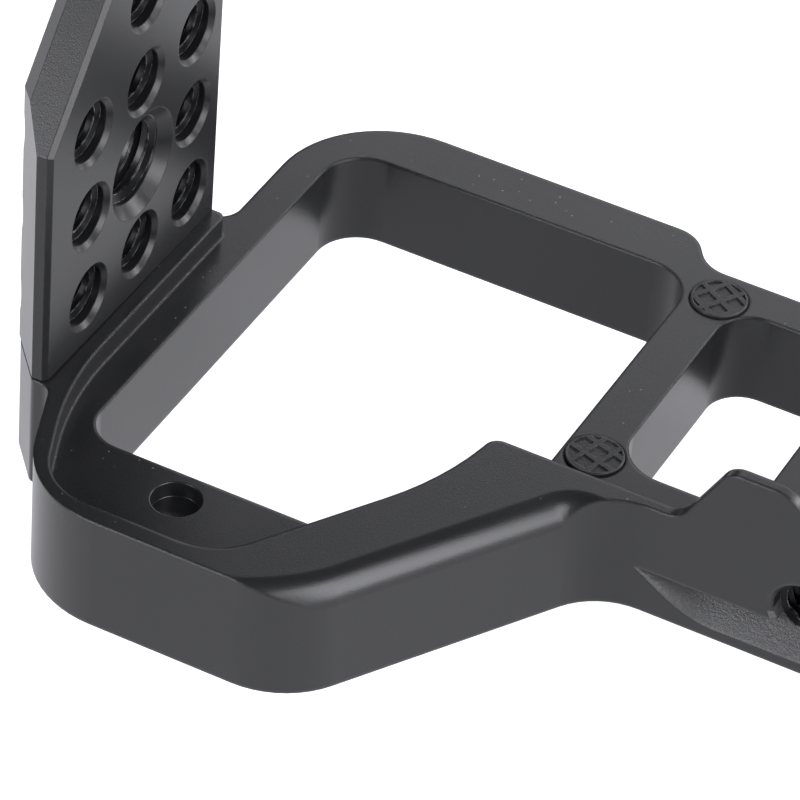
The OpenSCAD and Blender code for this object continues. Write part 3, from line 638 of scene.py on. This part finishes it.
def hole_threads():
    """Name, size, axis and starting point of the thread in each hole."""
    spots = []
    for forward, up in GRIP_HOLES:
        at = (-80.78, GRIP_Y - GRIP_PITCH * forward, GRIP_Z + GRIP_PITCH * up)
        spots.append(("grip_thread_%d%d" % (forward, up), "small", SIDEWAYS, at))
    at = (-80.42, GRIP_Y - GRIP_PITCH, GRIP_Z + GRIP_PITCH)
    spots.append(("grip_thread_large", "large", SIDEWAYS, at))
    spots.append(("front_thread", "small", BACKWARD, (0, -18.9, 7.1)))
    for side, y in (("front", -10), ("rear", 10)):
        for level in (0, 1):
            at = (TRIPOD_X, y, 0.6 + 4.5 * level)
            spots.append(("tripod_thread_%s_%d" % (side, level), "small", UPWARD, at))
    for level in (0, 1, 2):
        at = (TRIPOD_X, 0, 0.7 + 2.5 * level)
        spots.append(("tripod_thread_large_%d" % level, "large", UPWARD, at))
    for x in (-15, -5, 5, 15):
        spots.append(("top_thread_%d" % (x + 15), "small", UPWARD, (x, -20, TOP_START_Z)))
    for x in (-65.3, -55.3):
        spots.append(("top_grip_thread_%d" % -x, "small", UPWARD, (x, -12.35, TOP_START_Z)))
    return spots


def cut_threads():
    """1/4-20 and 3/8-16 threads, their feet a little inside the metal."""
    masters = {
        "small": thread_ridge(wall=3.205, crest=2.60, pitch=SMALL_PITCH, turns=3),
        "large": thread_ridge(wall=4.7925, crest=4.05, pitch=LARGE_PITCH, turns=2),
    }
    for name, size, axis, at in hole_threads():
        ridge = own_copy(masters[size])
        ridge.matrix_world = along(axis, at)
        finish_piece(ridge, name, THREAD)
    for master in masters.values():
        bpy.data.objects.remove(master)


cut_threads()

HEAD_RADIUS, HEAD_LOW, HEAD_HIGH = 6.5, 0.75, 2.65
HEAD_EDGE, EDGE_TAPER = 0.35, 0.945          # eased edge's height, and what it leaves of the radius
KNURLS, KNURL_TAPER = 60, 0.965
NECK_RADIUS, NECK_LOW, NECK_HIGH = 2.5, 2.9, 15.3
POINT_RADIUS, POINT_LENGTH = 2.1, 0.4
RIDGE_START_Z = 10.7
SLOT_SIZE, SLOT_MIDDLE = (30, 1.6, 2), (0, 0, 0.6)


def knurled_head():
    """Round head with a knurled rim, both edges eased, and a slot below."""
    sides = 2 * KNURLS
    head = round_bar(HEAD_RADIUS, HEAD_LOW, HEAD_HIGH, sides)
    grow_end(head, HEAD_HIGH, HEAD_EDGE, EDGE_TAPER)
    grow_end(head, HEAD_LOW, -HEAD_EDGE, EDGE_TAPER)

    def in_groove(vertex):
        side = round(math.atan2(vertex.co.y, vertex.co.x) / math.tau * sides)
        return vertex.co.xy.length > (HEAD_RADIUS - 0.1) * MM and side % 2 == 0

    edit_some(head, "VERT", in_groove)
    bpy.ops.transform.resize(value=(KNURL_TAPER, KNURL_TAPER, 1))
    object_mode()
    cut(head, block(SLOT_SIZE, SLOT_MIDDLE))
    return head


def camera_screw():
    """Captive 1/4 inch screw: knurled slotted head, neck and rolled thread."""
    head = knurled_head()
    neck = round_bar(NECK_RADIUS, NECK_LOW, NECK_HIGH, 64)
    grow_end(neck, NECK_HIGH, POINT_LENGTH, POINT_RADIUS / NECK_RADIUS)
    ridge = thread_ridge(wall=2.48, crest=3.175, pitch=SMALL_PITCH, turns=3)
    ridge.location.z = RIDGE_START_Z * MM
    settle(ridge)
    screw = join([head, neck, ridge])
    smooth(screw, 35)
    finish_piece(screw, "knurled_camera_screw", BRIGHT_STEEL,
                 body="camera_screw", replaces=("camera_screw",))


camera_screw()


# ---- Rubber pads ----

PAD_SPOTS = {
    # pad's node: middle of the pad, turn of its pockets, and middle of one pocket from the pad's middle
    "base_pad_front_grip": ((-25.85, -13.1), -17, (0.18, 0.48)),
    "base_pad_rear_grip": ((-25.85, 15.8), -32, (-1.1, -0.62)),
    "base_pad_front_port": ((25.85, -13.1), 12, (0.5, -0.3)),
    "base_pad_rear_port": ((25.85, 15.8), 40, (-0.4, 0.7)),
}
PAD_RADIUS, PAD_EDGE, PAD_TAPER = 2.98, 0.1, 0.965
POCKET, POCKET_PITCH, POCKET_DEPTH = 1.5, 2.05, 0.16
POCKET_FIELD = 2.72                          # radius that the pockets fill
POCKETS_EACH_WAY = range(-3, 4)


def rubber_pad(node, middle, turn, shift):
    low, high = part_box(node)
    low_z, high_z = low[2] / MM, high[2] / MM
    pad = round_bar(PAD_RADIUS, low_z, high_z - PAD_EDGE, 72)
    grow_end(pad, high_z - PAD_EDGE, PAD_EDGE, PAD_TAPER)
    pockets = join([block((POCKET, POCKET, 2 * POCKET_DEPTH), (i * POCKET_PITCH, j * POCKET_PITCH, 0))
                    for i in POCKETS_EACH_WAY for j in POCKETS_EACH_WAY])
    pockets.matrix_world = (Matrix.Translation((shift[0] * MM, shift[1] * MM, high_z * MM))
                            @ Matrix.Rotation(math.radians(turn), 4, "Z"))
    settle(pockets)
    cut(pockets, round_bar(POCKET_FIELD, high_z - 1, high_z + 1, 72), "INTERSECT")
    cut(pad, pockets)
    pad.location = (middle[0] * MM, middle[1] * MM, 0)
    settle(pad)
    smooth(pad, 30)
    finish_piece(pad, node.replace("base_pad", "rubber_pad"), RUBBER, replaces=(node,))


for node, (middle, turn, shift) in PAD_SPOTS.items():
    rubber_pad(node, middle, turn, shift)


# ---- Cup that holds the key's magnet ----

CUP_RADIUS, CUP_LIP, CUP_TOP, CUP_FLARE = 2.54, 3.45, 10.512, 0.1   # radii, top, and flare's height
# radius and height of each ring of the cup, from its lip in and down
CUP_RINGS = (
    (2.66, 0.0), (2.64, 0.0), (2.58, -0.015), (2.535, -0.05), (2.51, -0.10), (2.50, -0.17),
    (2.48, -1.72), (2.44, -1.76), (1.90, -1.79), (1.2, -1.86), (0.6, -1.91), (0.25, -1.92),
)


def magnet_cup():
    """Cup pressed into its hole, its lip lying on the floor, with a shallow dished bottom."""
    low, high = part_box("key_magnet")
    cup = round_bar(CUP_RADIUS, low[2] / MM, CUP_TOP - CUP_FLARE, 96)
    grow_end(cup, CUP_TOP - CUP_FLARE, CUP_FLARE, CUP_LIP / CUP_RADIUS)
    bpy.ops.object.mode_set(mode="EDIT")
    last_radius, last_height = CUP_LIP, 0.0
    for radius, height in CUP_RINGS:
        extrude_selected(height - last_height, radius / last_radius)
        last_radius, last_height = radius, height
    object_mode()
    cup.location = ((low[0] + high[0]) / 2, (low[1] + high[1]) / 2, 0)
    settle(cup)
    smooth(cup, 32)
    finish_piece(cup, "magnet_cup", ANODISED_CUP, replaces=("key_magnet",))


magnet_cup()


# ---- Springs behind the rail's stop pins ----

SPRING_X, SPRING_Y = 57.7, -11
RAIL_MIDDLE_Z, STOP_REACH = 57.1, 19
WIRE_RADIUS, COIL_RADIUS, COIL_PITCH, COILS = 0.25, 1.75, 0.88, 5


def stop_spring(side, height):
    select_nothing()
    bpy.ops.mesh.primitive_circle_add(
        vertices=10, radius=WIRE_RADIUS * MM, location=(COIL_RADIUS * MM, 0, WIRE_RADIUS * MM),
        rotation=(math.pi / 2, 0, 0))
    coil = bpy.context.active_object
    settle(coil)
    wind(coil, COIL_PITCH, COILS, 32)
    smooth(coil, 60)
    coil.matrix_world = along(SIDEWAYS, (SPRING_X, SPRING_Y, height))
    finish_piece(coil, "coil_spring_" + side, SPRING_STEEL,
                 replaces=("rail_spring_" + side,))
    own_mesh(coil)


stop_spring("upper", RAIL_MIDDLE_Z + STOP_REACH)
stop_spring("lower", RAIL_MIDDLE_Z - STOP_REACH)


# ---- Floor, lights and camera ----

COOL_WHITE = (0.985, 0.985, 1.045)
FLOOR_Z = -0.009         # below the released key and the lowered camera screw
FLOOR_GLOW = 1.03
LIGHTS_AIM = Vector((-0.03, -0.01, 0.03))


def stage_floor():
    bpy.ops.mesh.primitive_plane_add(size=12.0, location=(0, 0, FLOOR_Z))
    floor = bpy.context.active_object
    floor.name = "studio_floor"
    material, _, shader = start_material("pale_floor", 0.9)
    shader.inputs["Base Color"].default_value = (0.28, 0.28, 0.28, 1.0)
    shader.inputs["Emission Color"].default_value = (*COOL_WHITE, 1.0)
    shader.inputs["Emission Strength"].default_value = FLOOR_GLOW
    floor.data.materials.append(material)


def softbox(name, direction, distance, width, height, radiance):
    """A soft light of the given brightness, seen from the lights' aim along direction."""
    data = bpy.data.lights.new(name, "AREA")
    data.shape = "RECTANGLE"
    data.size, data.size_y = width, height
    data.energy = radiance * math.pi * width * height
    data.color = COOL_WHITE
    light = bpy.data.objects.new(name, data)
    bpy.context.scene.collection.objects.link(light)
    way = Vector(direction).normalized()
    light.location = LIGHTS_AIM + way * distance
    light.rotation_euler = way.to_track_quat("Z", "Y").to_euler()
    light.visible_camera = False


def dim_world():
    world = bpy.data.worlds.new("studio")
    bpy.context.scene.world = world
    world.use_nodes = True
    background = world.node_tree.nodes["Background"]
    background.inputs["Color"].default_value = (0.95, 0.97, 1.0, 1.0)
    background.inputs["Strength"].default_value = 0.15


def set_camera(place_at, turn, lens, shift):
    """Camera at place_at; turn is a turn vector whose matrix has right, down and ahead as its rows."""
    data = bpy.data.cameras.new("camera")
    camera = bpy.data.objects.new("camera", data)
    bpy.context.scene.collection.objects.link(camera)
    right, down, ahead = Matrix.Rotation(turn.length, 3, turn.normalized())
    axes = Matrix((right, -down, -ahead)).transposed().to_4x4()
    camera.matrix_world = Matrix.Translation(place_at) @ axes
    data.sensor_width = 36.0
    data.lens = lens
    data.shift_x, data.shift_y = shift
    data.clip_start, data.clip_end = 0.01, 20.0
    bpy.context.scene.camera = camera


stage_floor()
softbox("back_softbox", (0.094, 0.895, 0.435), 1.4, 1.85, 0.9, 2.55)
softbox("right_softbox", (0.860, -0.110, 0.498), 1.1, 0.9, 1.2, 9.5)
softbox("front_softbox", (-0.429, -0.843, 0.326), 1.1, 0.65, 0.55, 12.0)
softbox("strip_softbox", (0.60, 0.69, 0.39), 1.3, 0.36, 0.36, 12.0)
dim_world()
set_camera(Vector((0.11336, -0.36235, 0.32751)), Vector((2.1956, 0.5793, -0.1850)),
           lens=225.89, shift=(0.0067, -0.0006))
bpy.context.scene.view_settings.view_transform = "Standard"
